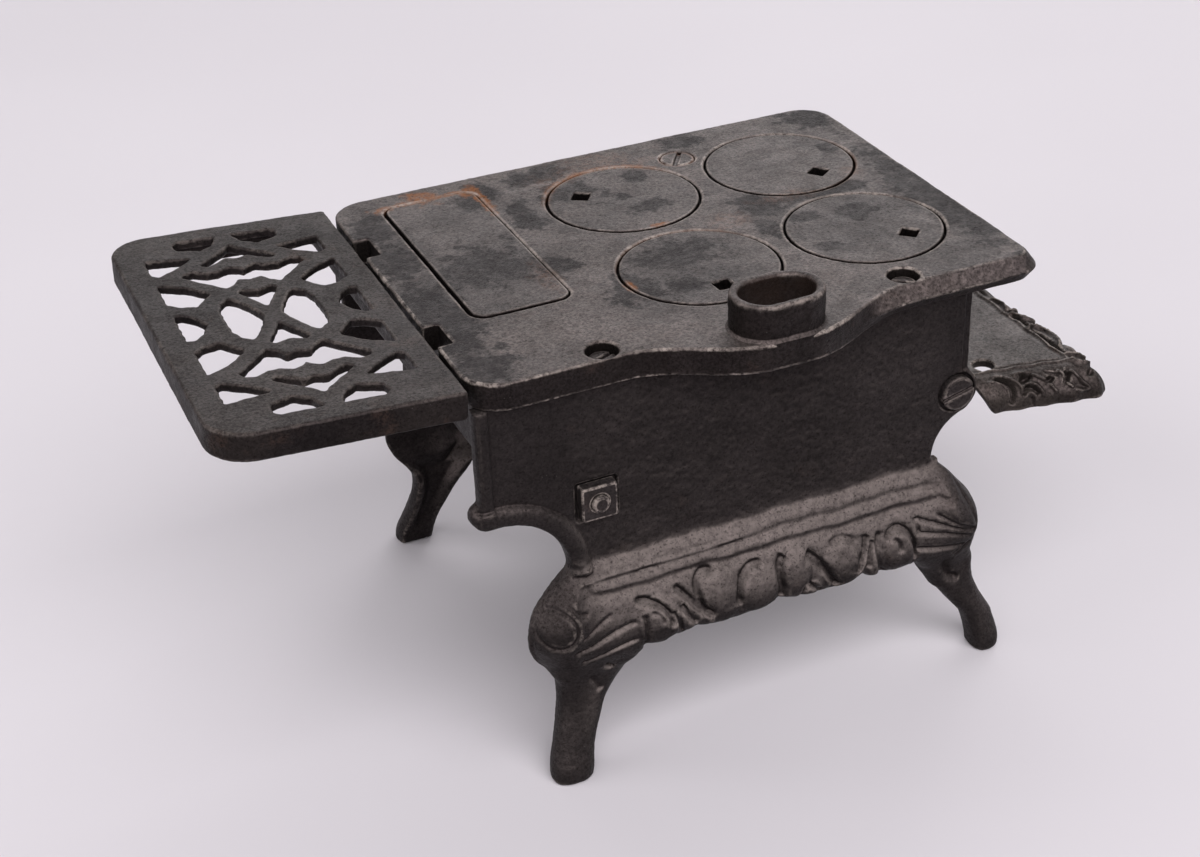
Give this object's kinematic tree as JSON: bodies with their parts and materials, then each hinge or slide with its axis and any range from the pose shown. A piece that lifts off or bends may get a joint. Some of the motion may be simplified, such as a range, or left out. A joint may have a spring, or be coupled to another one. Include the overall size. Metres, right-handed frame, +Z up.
{
  "type": "toy cast-iron cook stove",
  "caption": "Miniature cast-iron cook stove with loose lids, an openwork side shelf that hooks on, a hearth apron, hinged doors and cabriole legs.",
  "frame": {"origin": "centre of the overall box at ground level", "axes": "+X from the hearth apron towards the side shelf, +Y towards the flue collar side, +Z up"},
  "size_m": [0.2248, 0.1255, 0.119],
  "materials": {
    "top_iron": "worn dark casting with cloudy brown stains and a little rust",
    "lid_iron": "ground flat, stained, rust at the edges",
    "body_iron": "dark sandy casting",
    "shelf_iron": "dark casting with bright worn edges",
    "apron_iron": "smooth grey casting",
    "fastener_steel": "blackened steel with worn edges"
  },
  "bodies": {
    "stove": {"top_plate": "top_iron", "rear_panel": "body_iron", "front_panel": "body_iron", "firebox_end_wall": "body_iron", "reservoir_end_wall": "body_iron", "firebox_partition": "body_iron", "oven_floor": "body_iron", "oven_top": "body_iron", "reservoir_pan": "body_iron", "fire_grate": "body_iron", "hearth_apron": "apron_iron", "oven_door_pin": "fastener_steel", "fire_door_pin": "fastener_steel", "tie_bolts": "fastener_steel", "tie_nuts": "fastener_steel", "rear_plate_screws": "fastener_steel", "front_plate_bolt": "fastener_steel"},
    "lid_front_left": {"lid_front_left": "lid_iron"},
    "lid_front_right": {"lid_front_right": "lid_iron"},
    "lid_rear_left": {"lid_rear_left": "lid_iron"},
    "lid_rear_right": {"lid_rear_right": "lid_iron"},
    "reservoir_cover": {"reservoir_cover": "lid_iron"},
    "side_shelf": {"side_shelf": "shelf_iron"},
    "oven_door": {"oven_door": "body_iron", "oven_door_knob": "fastener_steel"},
    "fire_door": {"fire_door": "body_iron", "fire_door_knob": "fastener_steel"}
  },
  "joints": [
    {"name": "lid_front_left_lift", "type": "slide", "parent": "stove", "child": "lid_front_left", "axis": [0, 0, 1], "range_m": [0, 0.02]},
    {"name": "lid_front_right_lift", "type": "slide", "parent": "stove", "child": "lid_front_right", "axis": [0, 0, 1], "range_m": [0, 0.02]},
    {"name": "lid_rear_left_lift", "type": "slide", "parent": "stove", "child": "lid_rear_left", "axis": [0, 0, 1], "range_m": [0, 0.02]},
    {"name": "lid_rear_right_lift", "type": "slide", "parent": "stove", "child": "lid_rear_right", "axis": [0, 0, 1], "range_m": [0, 0.02]},
    {"name": "reservoir_cover_lift", "type": "slide", "parent": "stove", "child": "reservoir_cover", "axis": [0, 0, 1], "range_m": [0, 0.02]},
    {"name": "side_shelf_tilt", "type": "hinge", "parent": "stove", "child": "side_shelf", "pos_m": [0.0553, 0, 0.10956], "axis": [0, -1, 0], "range_deg": [0, 45]},
    {"name": "oven_door_hinge", "type": "hinge", "parent": "stove", "child": "oven_door", "pos_m": [0.01419, -0.05527, 0.071], "axis": [0, 0, 1], "range_deg": [0, 110]},
    {"name": "fire_door_hinge", "type": "hinge", "parent": "stove", "child": "fire_door", "pos_m": [-0.06841, -0.05527, 0.0897], "axis": [0, 0, -1], "range_deg": [0, 110]}
  ]
}
